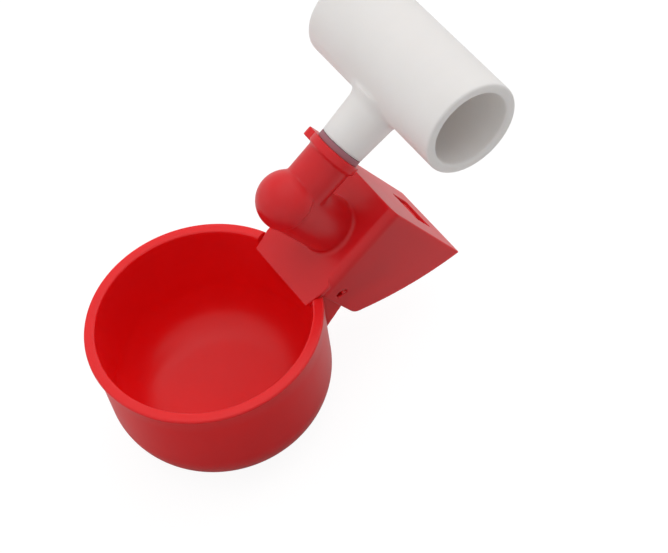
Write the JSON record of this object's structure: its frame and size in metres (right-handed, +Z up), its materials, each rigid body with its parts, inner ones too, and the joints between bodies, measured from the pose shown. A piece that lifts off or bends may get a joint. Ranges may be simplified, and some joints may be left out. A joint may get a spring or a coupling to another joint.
{
  "type": "automatic drinking bowl",
  "caption": "Round red drinking bowl that tips on pegs under a sloping hood, fed through a neck from a white pipe tee; a sprung tail lifts a rubber pad to the water nozzle.",
  "frame": {"origin": "centre of the flat underside of the bowl", "axes": "+Z up along the bowl's axis, +X along the run of the tee, +Y from the bowl towards the hood and the tee"},
  "size_m": [0.08, 0.147, 0.1228],
  "materials": {
    "red_plastic": "smooth moulded, slightly glossy",
    "white_pvc": "smooth moulded",
    "white_acetal": "turned",
    "spring_steel": "bright wire",
    "rubber": "moulded"
  },
  "bodies": {
    "head": {"hood": "red_plastic", "valve_nozzle": "white_acetal", "balance_spring": "spring_steel", "neck_seal": "rubber", "tee_fitting": "white_pvc"},
    "cup": {"bowl": "red_plastic", "valve_pad": "rubber"}
  },
  "joints": [
    {"name": "bowl_tilt", "type": "hinge", "parent": "head", "child": "cup", "pos_m": [0, 0.04413, 0.0433], "axis": [1, 0, 0], "range_deg": [0, 3.5], "stiffness_Nm_per_rad": 0.4, "springref_deg": -5.16, "deforming": ["balance_spring"]}
  ]
}
